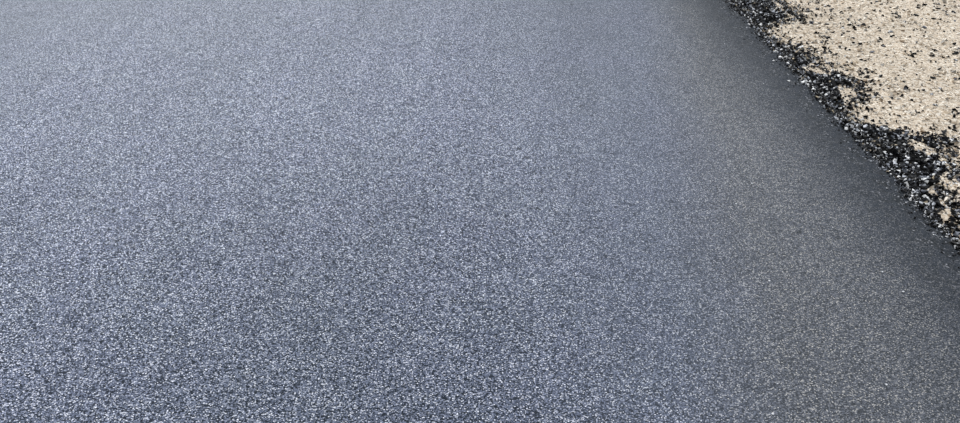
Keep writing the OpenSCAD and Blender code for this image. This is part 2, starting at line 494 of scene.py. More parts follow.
def rocks(count, corners, seed):
    """Angular stones as wide as a ball of radius 1: the corners and faces of each."""
    rng = np.random.default_rng(seed)
    shapes = []
    for _ in range(count):
        points = rng.normal(size=(corners, 3))
        points /= np.linalg.norm(points, axis=1, keepdims=True)
        points *= rng.uniform(0.75, 1.0, (corners, 1)) * (1, rng.uniform(0.65, 0.95), 0.68)
        hull = bmesh.new()
        for p in points:
            hull.verts.new(p)
        made = bmesh.ops.convex_hull(hull, input=hull.verts)
        spare = [v for v in made["geom_interior"] if isinstance(v, bmesh.types.BMVert)]
        bmesh.ops.delete(hull, geom=spare, context="VERTS")
        bmesh.ops.triangulate(hull, faces=hull.faces)
        bmesh.ops.recalc_face_normals(hull, faces=hull.faces)
        hull.verts.index_update()
        verts = np.array([v.co for v in hull.verts])
        faces = np.array([[v.index for v in f.verts] for f in hull.faces])
        shapes.append((verts, faces))
        hull.free()
    return shapes


SHAPES = rocks(count=20, corners=7, seed=5)
BIG_SHAPES = rocks(count=10, corners=14, seed=6)


def rock_patches(places, sizes, picks, shapes, seed, first=0, tilt=0.5):
    """Stones at their places, as corners and patches that start at a given corner."""
    rng = np.random.default_rng(seed)
    kinds = rng.integers(len(shapes), size=len(places))
    turn = rng.uniform(0, 2 * math.pi, len(places))
    lean, way = rng.normal(0, tilt, len(places)), rng.uniform(0, 2 * math.pi, len(places))
    verts, patches = [], []
    for k, (shape, faces) in enumerate(shapes):
        on = np.flatnonzero(kinds == k)
        if not len(on):
            continue
        c, s = np.cos(turn[on])[:, None], np.sin(turn[on])[:, None]
        p = shape[None] * sizes[on][:, None, None] / 2
        p = np.stack([p[..., 0] * c - p[..., 1] * s, p[..., 0] * s + p[..., 1] * c, p[..., 2]], 2)
        axis = np.stack([np.cos(way[on]), np.sin(way[on]), 0 * way[on]], 1)[:, None]
        c, s = np.cos(lean[on])[:, None, None], np.sin(lean[on])[:, None, None]
        dot = (p * axis).sum(2, keepdims=True)
        p = p * c + np.cross(np.broadcast_to(axis, p.shape), p) * s + axis * dot * (1 - c)
        p += places[on][:, None]
        verts.append(p.reshape(-1, 3))
        offsets = first + len(shape) * np.arange(len(on))
        f = (faces[None] + offsets[:, None, None]).reshape(-1, 3)
        first += p.shape[0] * p.shape[1]
        uv = np.tile(HIDDEN * np.array([(1, 1), (2, 1), (1, 2)]), (len(f), 1, 1))
        patches.append(patch(f, uv, None, np.repeat(picks[on], len(faces))))
    return np.concatenate(verts), patches


# Materials


def linear(c):
    """A share of a colour, from the screen's scale to the renderer's."""
    return c / 12.92 if c <= 0.04045 else ((c + 0.055) / 1.055) ** 2.4


def srgb(r, g, b):
    """A colour that is written as on a screen, from 0 to 255."""
    return (linear(r / 255), linear(g / 255), linear(b / 255), 1.0)


def grey(v):
    return srgb(v, v, v)


class Shader:
    """A procedural material in the section's own coordinates."""

    def __init__(self, name, roughness=0.8, specular=0.5):
        self.mat = bpy.data.materials.new(name)
        self.mat.use_nodes = True
        self.tree = self.mat.node_tree
        self.out = self.tree.nodes["Principled BSDF"]
        self.out.inputs["Roughness"].default_value = roughness
        self.out.inputs["Specular IOR Level"].default_value = specular
        self.place = self.tree.nodes.new("ShaderNodeTexCoord").outputs["Object"]
        axes = self.node("SeparateXYZ", Vector=self.place)
        self.x, self.y = axes.outputs[:2]

    def put(self, socket, value):
        if isinstance(value, bpy.types.NodeSocket):
            self.tree.links.new(value, socket)
        else:
            socket.default_value = value

    def node(self, kind, settings=(), **inputs):
        node = self.tree.nodes.new("ShaderNode" + kind)
        for key, value in dict(settings).items():
            setattr(node, key, value)
        for key, value in inputs.items():
            self.put(node.inputs[key], value)
        return node

    def noise(self, scale, detail=3.0, rough=0.55, place=None):
        """Smooth noise with about so many lumps a metre."""
        settings = {"Scale": scale, "Detail": detail, "Roughness": rough}
        return self.node("TexNoise", Vector=place or self.place, **settings).outputs[0]

    def cells(self, scale, feature="F1", place=None):
        """Outputs of cells like packed stones, so many a metre."""
        kind, settings = "TexVoronoi", {"feature": feature}
        return self.node(kind, settings, Vector=place or self.place, Scale=scale).outputs

    def seams(self, scale):
        """How far a place is from the nearest side of its cell."""
        return self.cells(scale, "DISTANCE_TO_EDGE")["Distance"]

    def stretched(self, *scale):
        return self.node("Mapping", Vector=self.place, Scale=scale).outputs[0]

    def part(self, colour, axis=0):
        return self.node("SeparateXYZ", Vector=colour).outputs[axis]

    def ramp(self, fac, *stops):
        """From stop to stop, each one a place from 0 to 1 with a colour or a level."""
        node = self.node("ValToRGB", Fac=fac)
        elements = node.color_ramp.elements
        while len(elements) < len(stops):
            elements.new(0.5)
        for element, (at, colour) in zip(elements, stops):
            element.position = at
            element.color = colour if isinstance(colour, tuple) else (colour,) * 3 + (1,)
        return node.outputs["Color"]

    def mix(self, fac, a, b, way="MIX"):
        """From colour a at 0 to colour b at 1."""
        node = self.node("Mix", {"data_type": "RGBA", "blend_type": way})
        for socket, value in zip((0, 6, 7), (fac, a, b)):
            self.put(node.inputs[socket], value)
        return node.outputs[2]

    def times(self, colour, level):
        return self.mix(1.0, colour, level, "MULTIPLY")

    def both(self, a, b):
        return self.maths("MULTIPLY", a, b)

    def maths(self, way, *values):
        node = self.node("Math", {"operation": way})
        for socket, value in enumerate(values):
            self.put(node.inputs[socket], value)
        return node.outputs[0]

    def step(self, value, low, high):
        """0 at low and 1 at high, straight between and held past them."""
        node = self.node("MapRange", Value=value)
        self.put(node.inputs["From Min"], low)
        self.put(node.inputs["From Max"], high)
        return node.outputs[0]

    def bump(self, height, depth, strength=1.0, over=None):
        """Relief of the given depth in metres, laid over another one."""
        node = self.node("Bump", Height=height, Strength=strength, Distance=depth)
        if over is not None:
            self.tree.links.new(over, node.inputs["Normal"])
        return node.outputs[0]

    def finish(self, colour, rough=None, normal=None):
        for key, value in {"Base Color": colour, "Roughness": rough, "Normal": normal}.items():
            if value is not None:
                self.put(self.out.inputs[key], value)
        return self.mat


def mat_stones(s, small, seams, outer):
    """Coated stones of 3 to 10 mm pressed flat, with dark pits between, calmer near the edge;
    their whitest specks are partly pale stone and partly painted glints.
    """
    stone_faces_and_glints = s.ramp(
        s.part(small["Color"]),
        (0.0, srgb(2, 3, 8)),
        (0.22, srgb(8, 11, 20)),
        # the bluish greys here are partly the stones' own tone and partly painted sky reflection
        (0.30, srgb(89, 97, 118)),
        (0.68, srgb(129, 136, 157)),
        # the two lightest stops are partly pale stone and partly painted glints on the coated
        # stones
        (0.84, srgb(180, 186, 201)),
        (0.95, srgb(240, 244, 252)),
    )
    tone = s.mix(s.step(small["Distance"], 0.40, 0.72), stone_faces_and_glints, srgb(26, 30, 43))
    tone = s.times(tone, s.ramp(seams, (0.0, 0.62), (0.10, 1.0)))
    calm = s.both(s.step(outer, 0.80, 1.40), 0.38)
    return s.mix(calm, tone, srgb(93, 98, 107))


def mat_lanes(s, tone):
    """Slow changes of tone over the mat from the paving and the roller, steps of tone across it,
    and a painted sheen along it.
    """
    bands = s.noise(1.0, 3.0, 0.5, s.stretched(3.2, 0.55, 1.0))
    tone = s.times(tone, s.ramp(bands, (0.3, 1.03), (0.7, 1.17)))
    tone = s.times(tone, s.ramp(s.noise(5.5, 3.0, 0.6), (0.3, 0.94), (0.7, 1.05)))
    # painted sheen: up to 14 % brighter in the middle of the length, where the light's reflection
    # falls, and a little darker at the far end
    painted_sheen_along = s.ramp(s.step(s.y, -1.6, 1.6), (0.0, 1.0), (0.38, 1.14), (0.65, 1.08), (1.0, 0.95))
    tone = s.times(tone, painted_sheen_along)
    off_lane = s.maths("ABSOLUTE", s.maths("SUBTRACT", s.x, 0.45))
    lane = s.both(s.step(off_lane, 0.75, 0.15), s.step(s.y, -0.2, -1.1))
    tone = s.times(tone, s.ramp(lane, (0.0, 1.0), (1.0, 0.76)))
    # steps of tone across the road: lighter left of the middle, darker from about 1.4 to 1.9 m
    # right of it
    tone_steps_across = ((0.0, 1.0), (0.25, 1.08), (0.4, 1.03), (0.55, 1.07), (0.7, 1.0), (0.81, 0.91))
    tone_steps_across = s.ramp(s.step(s.x, -EDGE_X, EDGE_X), *tone_steps_across, (0.92, 0.90), (1.0, 1.0))
    return s.times(tone, tone_steps_across)


def mat_hue(s):
    """The mat's tint, its blue partly the asphalt's own and partly painted sky reflection, with a
    warmer strip beside its right edge.
    """
    # painted reflection: the blue lift stands partly for the sky mirrored in the mat
    tint_and_painted_sky_blue = s.ramp(s.noise(3.4, 2.0), (0.4, (1.08, 1.07, 1.14, 1)), (0.6, (1.08, 1.08, 1.12, 1)))
    line = s.maths("MULTIPLY_ADD", s.y, -0.158, s.x)
    line = s.maths("MULTIPLY_ADD", s.noise(2.0), 0.2, line)
    rim = s.ramp(s.step(s.x, 1.95, EDGE_X), (0.0, 1.0), (1.0, 0.55))
    warm = s.both(s.step(line, 1.62, 1.90), rim)
    return s.mix(warm, tint_and_painted_sky_blue, (1.00, 0.93, 0.83, 1))


def mat_edge(s, tone, ragged, open_and_shaded_strip):
    """The darker and more open strip along the mat's edges: partly its open texture and partly
    painted shade where the rolled edge turns away from the light.
    """
    # painted shade: the tone falls to 0.16 of itself towards the edge
    painted_edge_shade = s.ramp(open_and_shaded_strip, (0.0, 1.0), (0.35, 0.72), (0.65, 0.34), (1.0, 0.16))
    grains = s.part(s.cells(190)["Color"], 2)
    shades = (0.0, grey(2)), (0.5, grey(28)), (0.88, grey(58)), (0.955, srgb(168, 173, 186))
    loose = s.step(s.noise(24.0, 3.0, 0.6), 0.46, 0.58)
    loose = s.both(loose, s.step(ragged, 2.08, 2.26))
    return s.mix(s.both(loose, 0.8), s.times(tone, painted_edge_shade), s.ramp(grains, *shades))


def mat_marks(s, tone):
    """A few torn dark marks and pale stone chips."""
    marks = s.cells(11.0, place=s.stretched(0.8, 1.0, 1.0))
    torn = s.maths("MULTIPLY_ADD", s.noise(90, 4.0, 0.7), 0.30, marks["Distance"])
    rare = s.step(s.part(marks["Color"]), 0.64, 0.66)
    dark = s.both(s.step(torn, 0.26, 0.20), rare)
    tone = s.mix(s.both(dark, 0.8), tone, grey(12))
    chips = s.cells(22.0)
    some = s.step(s.part(chips["Color"], 1), 0.80, 0.82)
    pale = s.both(s.step(chips["Distance"], 0.075, 0.055), some)
    return s.mix(s.both(pale, 0.9), tone, srgb(228, 230, 236))


def mat_asphalt():
    """Rolled asphalt, with a bluish sheen where the light glances off it."""
    s = Shader("mat_asphalt", specular=0.44)
    s.out.inputs["Specular Tint"].default_value = (0.56, 0.77, 1.0, 1)
    outer = s.maths("ABSOLUTE", s.x)
    ragged = s.maths("MULTIPLY_ADD", s.noise(9.0, 4.0, 0.65), 0.12, outer)
    # where the edge strip opens up, and where its painted shade starts and ends
    open_and_shaded_strip = s.step(ragged, 1.87, 2.31)
    small, large = s.cells(310), s.cells(130)
    seams = s.seams(130)
    tone = mat_lanes(s, mat_stones(s, small, seams, outer))
    tone = mat_marks(s, s.times(mat_edge(s, tone, ragged, open_and_shaded_strip), mat_hue(s)))

    normal = s.bump(s.step(seams, 0.0, 0.22), 0.0014, 0.5)
    normal = s.bump(small["Distance"], 0.0010, 0.4, normal)
    normal = s.bump(s.noise(420, 3.0, 0.6), 0.0005, 0.4, normal)
    rough = s.ramp(s.part(large["Color"], 1), (0.0, 0.66), (1.0, 0.79))
    rough = s.mix(s.step(s.part(small["Color"]), 0.29, 0.23), rough, grey(244))
    rough = s.mix(open_and_shaded_strip, rough, grey(248))
    return s.finish(tone, rough, normal)


def cut_stones(name, stones, dark, light, pale, binder):
    """A cut face: sections of stones in what binds them."""
    s = Shader(name, roughness=0.8, specular=0.3)
    dark, light, pale, colour = srgb(*dark), srgb(*light), srgb(*pale), srgb(*binder)
    for scale, keep in ((stones * 2.6, 0.2), (stones * 1.5, 0.35), (stones, 0.5)):
        pick = s.cells(scale)["Color"]
        stone = s.ramp(s.part(pick), (0.0, dark), (0.5, light), (1.0, pale))
        stone = s.times(stone, s.ramp(s.noise(stones * 9), (0.3, 0.8), (0.7, 1.15)))
        kept = s.step(s.part(pick, 1), keep, keep + 0.02)
        inside = s.both(s.step(s.seams(scale), 0.06, 0.10), kept)
        colour = s.mix(inside, colour, stone)
    return s.finish(colour, None, s.bump(s.noise(stones * 5, 4.0), 0.003, 0.6))


def graded_stone(name, low, mid, high, stones, crevice_shade):
    """Graded crushed stone: fines, with grit and angular stones showing through, and painted shade
    in a ring round each stone.
    """
    s = Shader(name, roughness=0.9, specular=0.25)
    low, mid, high = srgb(*low), srgb(*mid), srgb(*high)
    fines = s.ramp(s.noise(stones * 2.2, 6.0, 0.7), (0.32, low), (0.5, mid), (0.68, high))
    grits, stone = s.cells(stones * 3.4), s.cells(stones)["Color"]
    grit = grits["Color"]
    grain = s.ramp(s.part(grit), (0.0, low), (0.35, mid), (1.0, high))
    colour = s.mix(s.step(s.part(grit, 1), 0.4, 0.5), fines, grain)
    specks = s.step(s.part(grit, 2), 0.93, 0.95)
    colour = s.mix(s.both(specks, 0.75), colour, grey(52))
    edge = s.seams(stones)
    shown = s.step(s.noise(stones * 0.35, 3.0, 0.6), 0.52, 0.60)
    picked = s.both(shown, s.step(s.part(stone, 1), 0.45, 0.5))
    inside = s.both(picked, s.step(edge, 0.05, 0.11))
    colour = s.mix(inside, colour, s.ramp(s.part(stone), (0.0, low), (0.5, mid), (1.0, high)))
    # painted shade: a dark brown ring round each showing stone, where it meets the fines
    rim = s.both(picked, s.step(edge, 0.09, 0.02))
    colour = s.mix(s.both(rim, crevice_shade), colour, srgb(70, 58, 44))
    mottle = s.ramp(s.noise(stones * 1.3, 3.0, 0.65), (0.32, 0.76), (0.5, 1.0), (0.68, 1.14))
    colour = s.times(colour, mottle)
    colour = s.times(colour, s.ramp(s.noise(1.9, 5.0, 0.6), (0.3, 0.90), (0.7, 1.08)))
    normal = s.bump(s.noise(stones * 2.2, 6.0, 0.7), 0.007, 0.7)
    rounded = s.both(s.step(edge, 0.0, 0.20), picked)
    normal = s.bump(rounded, 0.004, 0.7, normal)
    pebbled = s.maths("SUBTRACT", s.part(grit), grits["Distance"])
    return s.finish(colour, None, s.bump(pebbled, 0.0022, 0.5, normal))


def soil():
    """Brown soil in faint beds, with small stones in it."""
    s = Shader("soil", roughness=0.95, specular=0.2)
    clods = s.noise(30, 7.0, 0.68)
    shades = (0.3, srgb(86, 62, 42)), (0.5, srgb(128, 97, 68)), (0.7, srgb(158, 126, 94))
    colour = s.ramp(clods, *shades)
    stony = s.step(s.part(s.cells(120)["Color"]), 0.86, 0.9)
    colour = s.mix(s.both(stony, 0.8), colour, srgb(172, 152, 124))
    beds = s.ramp(s.noise(1.0, 4.0, 0.6, s.stretched(2, 2, 26)), (0.35, 0.86), (0.65, 1.1))
    return s.finish(s.times(colour, beds), None, s.bump(clods, 0.008, 0.8))


def plain(name, colour, rough, specular=0.5):
    """A material of one colour, written as on a screen."""
    return Shader(name, rough, specular).finish(srgb(*colour))


MAT_ASPHALT = mat_asphalt()
MAT_CUT = cut_stones("mat_cut", 95, (58, 59, 63), (98, 99, 103), (160, 156, 148), (36, 36, 39))
FILM = plain("bitumen_film", (25, 24, 25), 0.5)
# near black: the heap's bitumen between its stones, and painted shade in the gaps among them
BLACK_GROUND_AND_SHADE = plain("black_ground_and_shade", (6, 6, 7), 0.9, 0.05)
MARGIN = graded_stone("margin_stone", (150, 133, 113), (217, 201, 180), (255, 249, 238), 40, 0.9)
SUB_BASE_TOP = graded_stone(
    "sub_base_stone", (112, 102, 88), (146, 136, 120), (178, 168, 150), 34, 0.8
)
# a covered layer's colour inside and the look of its cut face
BINDER = (
    plain("binder_fill", (45, 45, 47), 0.9),
    cut_stones("binder_cut", 58, (50, 50, 52), (92, 91, 90), (168, 160, 146), (24, 24, 26)),
)
BASE = (
    plain("base_fill", (180, 164, 136), 0.9),
    cut_stones("base_cut", 40, (158, 143, 119), (194, 179, 153), (224, 213, 192), (166, 146, 116)),
)
SUB_BASE = (
    plain("sub_base_fill", (128, 118, 102), 0.9),
    cut_stones("sub_base_cut", 24, (98, 94, 88), (134, 128, 118), (172, 164, 150), (112, 98, 80)),
)
SOIL = soil()
GROUND = (plain("soil_fill", (122, 92, 64), 0.95), SOIL)
# a bare part's top and its cut face
MARGIN_LOOKS = [MARGIN, BASE[1]]
SUB_BASE_LOOKS = [SUB_BASE_TOP, SUB_BASE[1]]
SOIL_LOOKS = [SOIL, SOIL]
COATED = [
    plain("coated_black", (5, 6, 8), 0.38, 0.10),
    plain("coated_dark", (20, 22, 28), 0.40, 0.16),
    plain("coated_grey", (88, 92, 103), 0.55, 0.3),
    plain("coated_mid", (146, 151, 163), 0.6, 0.3),
    # the light and white stones are partly bare stone faces and partly painted glints on black
    # coated stones
    plain("coated_light_and_glint", (202, 207, 217), 0.6, 0.3),
    plain("coated_white_and_glint", (250, 252, 255), 0.6, 0.3),
    plain("uncoated", (214, 200, 176), 0.8, 0.3),
]
BARE = [
    plain("bare_tan", (214, 198, 176), 0.85, 0.3),
    plain("bare_light", (255, 247, 234), 0.85, 0.3),
    plain("bare_brown", (150, 132, 112), 0.85, 0.3),
    plain("bare_grey", (164, 160, 154), 0.8, 0.3),
]

# The layers


def even(x, count):
    """Places from -x to x with so many even steps between them."""
    return [-x + 2 * x * k / count for k in range(count + 1)]


def lengths(count):
    """Where each piece along the road starts and ends."""
    places = even(END_Y, count)
    return list(zip(places, places[1:]))


thirds, quarters = lengths(3), lengths(4)
# a covered layer's plain middle, and its ends with the cut faces
MIDDLE = 0.94
middle, ends = [(-MIDDLE, MIDDLE)], [(-END_Y, -MIDDLE), (MIDDLE, END_Y)]
# a step longer than any piece, so that one cell spans it
ONE_CELL = 9.0
# where the mat's smooth panels end and its fine steps start, and its steps across and along
PANEL_END, FINE_FROM = 1.125, 2.09
SMOOTH_STEP, FINE_STEP, FINE_ALONG = 0.030, 0.008, 0.012
# half widths of what is covered of the base course, and of the layers under it
BASE_COVERED, DEEP_COVERED = 2.310, 3.900


def mat_step(x):
    return SMOOTH_STEP if x < FINE_FROM else FINE_STEP


mat_foot = foot("surface_course")
for tag, columns, along in (
    ("edge_left", [-mat_foot, -PANEL_END], FINE_ALONG),
    ("panel", [-PANEL_END, 0.0, PANEL_END], SMOOTH_STEP),
    ("edge_right", [PANEL_END, mat_foot], FINE_ALONG),
):
    layer_pieces(
        "surface_course", tag, columns, thirds, mat_step, along, mat_relief, 4,
        dent_of(size=0.012, depth=0.002, seed=51, out=0.001), 1,
        materials=[MAT_ASPHALT, MAT_CUT], slot="mat_asphalt",
    )
CORES = (
    # node, half width of its covered part, columns, size of a step, dent, its two materials
    ("tack_coat", foot("tack_coat"), 4, ONE_CELL, None, FILM, FILM),
    ("prime_coat", foot("prime_coat"), 4, ONE_CELL, None, FILM, FILM),
    ("binder_course", foot("binder_course"), 4, 0.014, dent_of(0.018, 0.003, 53), *BINDER),
    ("base_course", BASE_COVERED, 4, 0.017, dent_of(0.030, 0.006, 55), *BASE),
    ("sub_base", DEEP_COVERED, 6, 0.023, dent_of(0.050, 0.009, 57), *SUB_BASE),
    ("subgrade", DEEP_COVERED, 6, 0.030, dent_of(0.080, 0.005, 59), *GROUND),
)
SLOTS = {
    "tack_coat": "bitumen",
    "prime_coat": "bitumen",
    "binder_course": "binder_asphalt",
    "base_course": "base_stone",
    "sub_base": "sub_base_stone",
    "subgrade": "soil",
}
for node, half, columns, step, dent, *looks in CORES:
    thick = crown(node) - (crown(under(node)) if under(node) else 0)
    for spans, tag, across, rows, shown_dent in (
        (middle, "middle", ONE_CELL, 1, None),
        (ends, "end", step, max(1, int(round(thick / step))), dent),
    ):
        layer_pieces(
            node, tag, even(half, columns), spans, lambda x: across, ONE_CELL, no_relief,
            rows, shown_dent, 3, shown=False, materials=looks, slot=SLOTS[node],
        )
OUTER = (
    # node, name, from, lengths, step across and along, relief, rows, materials
    ("base_course", "margin", BASE_COVERED, thirds, 0.017, 0.016, margin_relief, 10, MARGIN_LOOKS),
    ("sub_base", "edge", DEEP_COVERED, quarters, 0.018, 0.018, sub_base_relief, 6, SUB_BASE_LOOKS),
    ("subgrade", "edge", DEEP_COVERED, quarters, 0.024, 0.024, soil_relief, 6, SOIL_LOOKS),
)
for node, name, start, spans, across, along, relief, rows, looks in OUTER:
    dent = next(core[4] for core in CORES if core[0] == node)
    for side, columns in (("left", [-foot(node), -start]), ("right", [start, foot(node)])):
        layer_pieces(
            node, f"{name}_{side}", columns, spans, lambda x: across, along, relief, rows,
            dent, 1, materials=looks, slot=SLOTS[node],
        )

# The edge spills

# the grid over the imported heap's right side, which is measured from above
HEAP_X0, HEAP_X1, HEAP_STEP, HEAP_LINES, HEAP_INSET = 2.240, 2.800, 0.005, 321, 0.001
ABOVE_ALL = 2.0
# of so many lines the middle reach counts, and so often the heights are smoothed
REACH_WINDOW, SMOOTHINGS = 7, 2
heap_xs = np.arange(HEAP_X0, HEAP_X1, HEAP_STEP)
heap_ys = np.linspace(-END_Y + HEAP_INSET, END_Y - HEAP_INSET, HEAP_LINES)


def measured_heap():
    """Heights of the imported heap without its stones, and its reach on each line."""
    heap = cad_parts["edge_spill_right"]
    tree = BVHTree.FromPolygons(
        [heap.matrix_world @ v.co for v in heap.data.vertices],
        [tuple(p.vertices) for p in heap.data.polygons],
    )
    z = np.full((len(heap_xs), len(heap_ys)), np.nan)
    for a, x in enumerate(heap_xs):
        for b, y in enumerate(heap_ys):
            hit = tree.ray_cast(Vector((x, y, ABOVE_ALL)), Vector((0, 0, -1)))[0]
            if hit is not None:
                z[a, b] = hit.z
    reaches = np.where(np.isnan(z), 0, heap_xs[:, None]).max(0)
    padded = np.pad(reaches, REACH_WINDOW // 2, "edge")
    windows = np.lib.stride_tricks.sliding_window_view(padded, REACH_WINDOW)
    # carries the heights at the heap's rims on past them
    for b in range(len(heap_ys)):
        good = np.flatnonzero(~np.isnan(z[:, b]))
        z[:, b] = np.interp(heap_xs, heap_xs[good], z[good, b])
    for _ in range(SMOOTHINGS):
        z[:, 1:-1] = (z[:, :-2] + 2 * z[:, 1:-1] + z[:, 2:]) / 4
        z[1:-1] = (z[:-2] + 2 * z[1:-1] + z[2:]) / 4
    return z, np.median(windows, axis=1)


heap_z, heap_reach = measured_heap()
# how far a place stays inside the grid's last line, in steps
LAST_LINE = 0.001
# from which share of its reach the heap thins out, how unevenly and how far down
THIN_FROM, THIN_UNEVEN, THIN_DROP = 0.68, 0.3, 0.012


def reach(y):
    """How far out the right heap comes at y."""
    return np.interp(y, heap_ys, heap_reach)


def heap_top(x, y):
    """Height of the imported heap, the same on both sides."""
    u = np.clip((np.abs(x) - HEAP_X0) / HEAP_STEP, 0, len(heap_xs) - 1 - LAST_LINE)
    v = np.clip((y - heap_ys[0]) / (heap_ys[1] - heap_ys[0]), 0, len(heap_ys) - 1 - LAST_LINE)
    a, b = u.astype(int), v.astype(int)
    fu, fv = u - a, v - b
    low = heap_z[a, b] * (1 - fu) + heap_z[a + 1, b] * fu
    high = heap_z[a, b + 1] * (1 - fu) + heap_z[a + 1, b + 1] * fu
    return low * (1 - fv) + high * fv


def bareness(x, y):
    """0 where the heap is thick and 1 where it thins out to single stones near its rim."""
    share = (np.abs(x) - HEAP_X0) / (reach(y) - HEAP_X0)
    return ease(share + THIN_UNEVEN * noise(x, y, 0.08, 61), THIN_FROM, 1.0)


def heap_surface(x, y):
    """The heap between its stones, low enough near its rim for the margin to show through."""
    return heap_top(x, y) - THIN_DROP * bareness(x, y)


def margin_top(x, y):
    return plane("base_course", x) + margin_relief(x, y)


def ground_at(x, y):
    """Height of what a loose stone lies on."""
    margin = margin_top(x, y)
    heaped = np.maximum(np.maximum(heap_surface(x, y), skyline(x)), margin)
    z = np.where(np.abs(x) < reach(y), heaped, margin)
    return np.where(np.abs(x) < EDGE_X, skyline(x), z)


# where the heap and its stones start, how deep the heap goes, and its grid in each third
SPILL_IN, STONES_FROM = 2.246, 2.232
HEAP_SINK, HEAP_THINNEST, HEAP_ROWS, HEAP_COLUMNS = 0.003, 0.001, 85, 17
# stones tried in each third over the heap, past its rim and on the mat
COVER, FRINGE, STRAYS = 7400, 2000, 700
# how likely each coated material is there, and among the heap's own faces
COVER_ODDS = (0.42, 0.22, 0.09, 0.06, 0.07, 0.12, 0.02)
FRINGE_ODDS = (0.52, 0.22, 0.06, 0.05, 0.04, 0.06, 0.05)
STRAY_ODDS = (0.52, 0.28, 0.10, 0.05, 0.03, 0.02, 0)
GROUND_ODDS = (0.6, 0.25, 0.15)
# more than the heap's width, and the share of stones that its thin rim loses
COVER_WIDTH, RIM_LOSS = 0.55, 0.72
# where the stones past the rim start inside it, and how slowly they thin out
FRINGE_INSET, FRINGE_FADE = 0.02, 0.042
# the same for those on the mat, and where they stop
STRAY_EDGE, STRAY_FADE, STRAY_LIMIT = 2.252, 0.030, 2.05
# a stone's usual width, spread and limits, and the share of it for one on the mat
STONE_SIZE, STONE_SPREAD, STONE_LIMITS, STRAY_SIZE = 0.0150, 0.36, (0.006, 0.030), 0.55
# how low and how high stones lie, in shares of their size
STONE_LIFTS, STRAY_SINK = (-0.05, 0.35), 0.2
STONE_TILT = 0.6


def heap_body(sign, y0, y1, seed, rng):
    """The heap between its stones, as corners and patches in its darkest materials, whose black
    ground is partly painted shade.
    """
    columns, rows = np.linspace(0, 1, HEAP_COLUMNS), np.linspace(y0, y1, HEAP_ROWS)
    share, y = np.meshgrid(widened(columns), widened(rows), indexing="ij")
    x = SPILL_IN + (reach(y) - SPILL_IN) * share
    z = heap_surface(x, y)
    z += 0.006 * noise(x, y, 0.025, seed) * np.sin(np.pi * np.clip(share, 0, 1))
    top = np.stack([sign * x, y, z], 2)
    if sign < 0:
        top = top[::-1]
    core = top[1:-1, 1:-1]
    low = np.minimum(skyline(core[:, :, 0]) - HEAP_SINK, core[:, :, 2] - HEAP_THINNEST)
    bottom = np.stack([core[:, :, 0], core[:, :, 1], low], 2)
    verts, patches = block(top, bottom, 1, {}, columns, flat=False)
    patches[0]["pick"] = rng.choice(3, len(patches[0]["faces"]), p=GROUND_ODDS)
    return verts, patches


def heap_stones(y0, y1, seed, rng):
    """Places, sizes and materials of the stones on the heap, past its rim and on the mat."""
    along = rng.uniform(y0 + 0.002, y1 - 0.002, COVER + FRINGE + STRAYS)
    cover, fringe, strays = np.split(along, [COVER, COVER + FRINGE])
    x = STONES_FROM + rng.uniform(0, COVER_WIDTH, COVER)
    share = (x - STONES_FROM) / (reach(cover) - STONES_FROM)
    on = share < 1 + 0.06 * noise(x, cover, 0.04, seed + 1)
    on &= rng.uniform(0, 1, COVER) > RIM_LOSS * bareness(x, cover)
    past = reach(fringe) - FRINGE_INSET + rng.exponential(FRINGE_FADE, FRINGE)
    near = noise(past, fringe, 0.05, seed + 2) > rng.uniform(-1.2, 0.5, FRINGE)
    inward = STRAY_EDGE - rng.exponential(STRAY_FADE, STRAYS)
    kept = inward > STRAY_LIMIT
    x = np.concatenate([x[on], past[near], inward[kept]])
    y = np.concatenate([cover[on], fringe[near], strays[kept]])
    kinds = ((on, COVER_ODDS), (near, FRINGE_ODDS), (kept, STRAY_ODDS))
    picks = np.concatenate([rng.choice(len(COATED), k.sum(), p=odds) for k, odds in kinds])
    size = np.clip(rng.lognormal(math.log(STONE_SIZE), STONE_SPREAD, len(y)), *STONE_LIMITS)
    size[-kept.sum() :] *= STRAY_SIZE
    z = ground_at(x, y) + size * rng.uniform(*STONE_LIFTS, len(y))
    z[-kept.sum() :] -= STRAY_SINK * size[-kept.sum() :]
    return x, y, z, size, picks


for side, sign, seed in (("left", -1, 301), ("right", 1, 201)):
    rng = np.random.default_rng(seed)
    for r, (y0, y1) in enumerate(thirds):
        verts, patches = heap_body(sign, y0, y1, seed, rng)
        x, y, z, size, picks = heap_stones(y0, y1, seed, rng)
        places, picks, node = np.stack([sign * x, y, z], 1), picks + 1, f"edge_spill_{side}"
        stones, more = rock_patches(places, size, picks, SHAPES, seed + r, len(verts), STONE_TILT)
        verts, materials = np.concatenate([verts, stones]), [BLACK_GROUND_AND_SHADE, *COATED]
        make(f"{node}_{r + 1}", verts, patches + more, materials, node)

# Loose stones on the margins


# more edges than lie between any two corners of a packed stone
STONE_EDGES = 20


def packed_stones(node):
    """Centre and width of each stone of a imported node."""
    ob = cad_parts[node]
    corners = np.array([ob.matrix_world @ v.co for v in ob.data.vertices])
    edges = np.array([e.vertices for e in ob.data.edges])
    stone = np.arange(len(corners))
    for _ in range(STONE_EDGES):
        np.minimum.at(stone, edges, stone[edges].min(1)[:, None])
    out = []
    for k in np.unique(stone):
        lo, hi = corners[stone == k].min(0), corners[stone == k].max(0)
        out.append((*((lo + hi) / 2), (hi - lo)[:2].mean()))
    return np.array(sorted(out))


LOOSE_KINDS = (
    # name, materials, how likely each is, crumbs a side, usual size, spread, near the heap
    ("coated_stones", COATED, (0.80, 0.15, 0.03, 0, 0, 0.02, 0), 3300, 0.0195, 0.40, 1.4),
    ("bare_stones", BARE, (0.30, 0.46, 0.14, 0.10), 5600, 0.0170, 0.42, 1.2),
)
